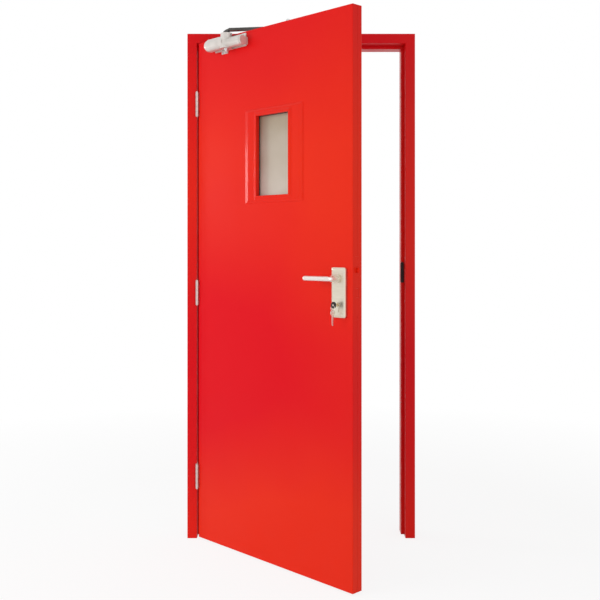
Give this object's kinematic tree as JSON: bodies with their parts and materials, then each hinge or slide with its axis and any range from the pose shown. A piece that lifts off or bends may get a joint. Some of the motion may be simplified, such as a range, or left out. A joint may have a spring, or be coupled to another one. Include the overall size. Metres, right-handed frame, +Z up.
{
  "type": "steel fire door set",
  "caption": "Red painted steel fire door leaf with a small glass vision panel, hung in a folded steel frame, with overhead closer, lever lock and key.",
  "frame": {"origin": "floor line at the middle of the frame's width, in the plane of the frame's front face", "axes": "+X across the doorway from hinge side to lock side, +Y into the wall, +Z up"},
  "size_m": [0.948, 0.7318, 2.1054],
  "materials": {
    "red_paint": "semi-gloss powder coat",
    "galvanised": "dull galvanised sheet",
    "satin_metal": "satin",
    "zinc_steel": "bright zinc plate",
    "hinge_steel": "satin",
    "lever_satin": "satin",
    "closer_silver": "sprayed silver",
    "arm_steel": "grey",
    "brass_plug": "worn",
    "key_nickel": "nickel plate",
    "black_rubber": "matt",
    "black_plastic": "matt",
    "mineral_core": "pressed mineral board",
    "fire_glass": "clear"
  },
  "bodies": {
    "frame": {"hinge_jamb": "red_paint", "lock_jamb": "red_paint", "head_jamb": "red_paint", "wall_anchors": "galvanised", "jamb_hinge_backers": "galvanised", "strike_plate": "red_paint", "strike_box": "black_plastic", "latch_buffer": "black_rubber", "frame_screws": "zinc_steel", "top_hinge_fixed": "hinge_steel", "middle_hinge_fixed": "hinge_steel", "bottom_hinge_fixed": "hinge_steel", "hinge_pins": "hinge_steel", "closer_shoe": "arm_steel", "shoe_pin": "zinc_steel"},
    "leaf": {"pull_skin": "red_paint", "push_skin": "red_paint", "leaf_core": "mineral_core", "hinge_stile": "galvanised", "lock_stile": "galvanised", "top_channel": "red_paint", "bottom_channel": "red_paint", "leaf_hinge_backers": "galvanised", "closer_backer": "galvanised", "lock_case": "zinc_steel", "lock_forend": "red_paint", "forend_screws": "red_paint", "leaf_screws": "zinc_steel", "pull_backplate": "satin_metal", "push_backplate": "satin_metal", "plate_bolts": "zinc_steel", "key_cylinder": "satin_metal", "top_hinge_moving": "hinge_steel", "middle_hinge_moving": "hinge_steel", "bottom_hinge_moving": "hinge_steel", "pull_trim": "red_paint", "push_trim": "red_paint", "glass_pane": "fire_glass", "glazing_gaskets": "black_rubber", "trim_screws": "zinc_steel", "closer_body": "closer_silver", "closer_caps": "closer_silver", "closer_screws": "zinc_steel"},
    "levers": {"pull_lever": "lever_satin", "push_lever": "lever_satin", "spindle": "zinc_steel", "follower": "zinc_steel"},
    "latch": {"latch_bolt": "red_paint"},
    "deadbolt": {"dead_bolt": "red_paint"},
    "key": {"cylinder_plug": "brass_plug", "door_key": "key_nickel"},
    "ring": {"key_ring": "key_nickel"},
    "spare": {"spare_key": "key_nickel"},
    "main_arm": {"closer_arm": "arm_steel", "closer_pinion": "zinc_steel", "elbow_stud": "zinc_steel"},
    "forearm": {"forearm_socket": "arm_steel", "forearm_rod": "zinc_steel", "forearm_nut": "zinc_steel"}
  },
  "joints": [
    {"name": "door_swing", "type": "hinge", "parent": "frame", "child": "leaf", "pos_m": [-0.4325, -0.007, 0], "axis": [0, 0, -1], "range_deg": [-45.5, 64.5]},
    {"name": "closer_arm_turn", "type": "hinge", "parent": "leaf", "child": "main_arm", "pos_m": [-0.29681, -0.1779, 2.074], "axis": [0, 0, -1], "range_deg": [-65, 46]},
    {"name": "forearm_turn", "type": "hinge", "parent": "frame", "child": "forearm", "pos_m": [-0.1875, -0.045, 2.086], "axis": [0, 0, -1], "range_deg": [-46, 65]},
    {"name": "lever_turn", "type": "hinge", "parent": "leaf", "child": "levers", "pos_m": [0.13567, -0.57519, 1.101], "axis": [-0.7133, -0.7009, 0], "range_deg": [0, 40], "stiffness_Nm_per_rad": 1.5, "springref_deg": -34.38},
    {"name": "latch_slide", "type": "slide", "parent": "leaf", "child": "latch", "axis": [-0.7009, 0.7133, 0], "range_m": [0, 0.012]},
    {"name": "key_turn", "type": "hinge", "parent": "leaf", "child": "key", "pos_m": [0.13567, -0.57519, 1.009], "axis": [-0.7133, -0.7009, 0], "range_deg": [0, 360]},
    {"name": "bolt_throw", "type": "slide", "parent": "leaf", "child": "deadbolt", "axis": [0.7009, -0.7133, 0], "range_m": [0, 0.02]},
    {"name": "ring_swing", "type": "hinge", "parent": "key", "child": "ring", "pos_m": [0.10928, -0.60112, 1.0067], "axis": [0.7009, -0.7133, 0], "range_deg": [-15, 5]},
    {"name": "spare_swing", "type": "hinge", "parent": "ring", "child": "spare", "pos_m": [0.10928, -0.60112, 0.9887], "axis": [0.7009, -0.7133, 0], "range_deg": [-15, 5]}
  ],
  "couplings": [
    {"joint": "closer_arm_turn", "follows": "door_swing", "ratio": -1},
    {"joint": "forearm_turn", "follows": "door_swing", "ratio": 1},
    {"joint": "latch_slide", "follows": "lever_turn", "m_per_rad": 0.0165},
    {"joint": "bolt_throw", "follows": "key_turn", "m_per_rad": 0.00318}
  ]
}
